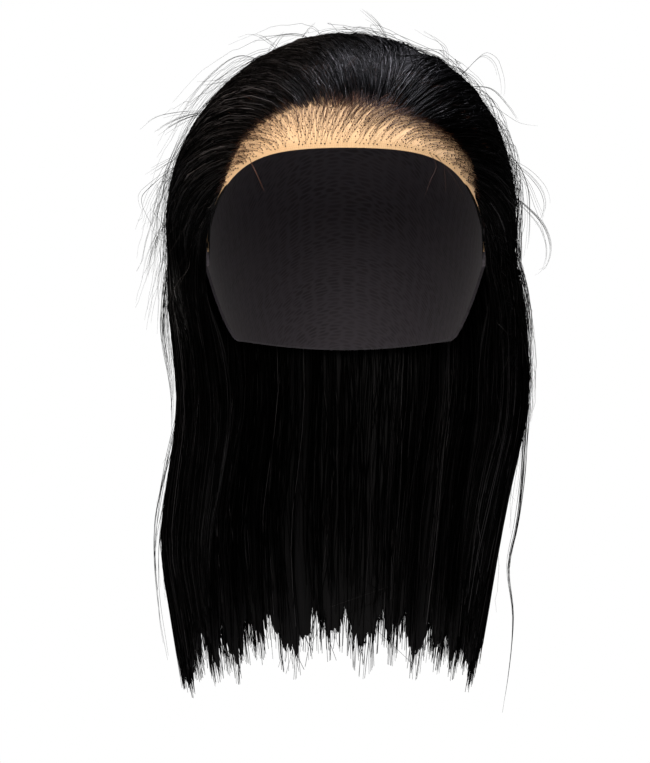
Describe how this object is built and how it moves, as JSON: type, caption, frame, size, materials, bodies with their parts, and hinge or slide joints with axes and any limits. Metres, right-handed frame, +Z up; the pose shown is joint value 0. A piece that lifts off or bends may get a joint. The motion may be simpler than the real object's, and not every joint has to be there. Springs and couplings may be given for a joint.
{
  "type": "straight lace-front wig",
  "caption": "Straight shoulder-length black wig combed back off the face, with a lace-front hairline on a stretch cap that fits over the head.",
  "frame": {"origin": "crown of the head that wears it, on the inside of the cap", "axes": "+Z up as worn, the face opening looks towards -Y, the wearer's left is +X"},
  "size_m": [0.1936, 0.1941, 0.3668],
  "materials": {
    "lace": "matte fine net",
    "cap_net": "matte stretch net",
    "hair": "satin straight hair"
  },
  "bodies": {
    "root": {"lace_front": "lace", "cap": "cap_net", "hair_right": "hair", "hair_middle": "hair", "hair_left": "hair"}
  },
  "joints": []
}
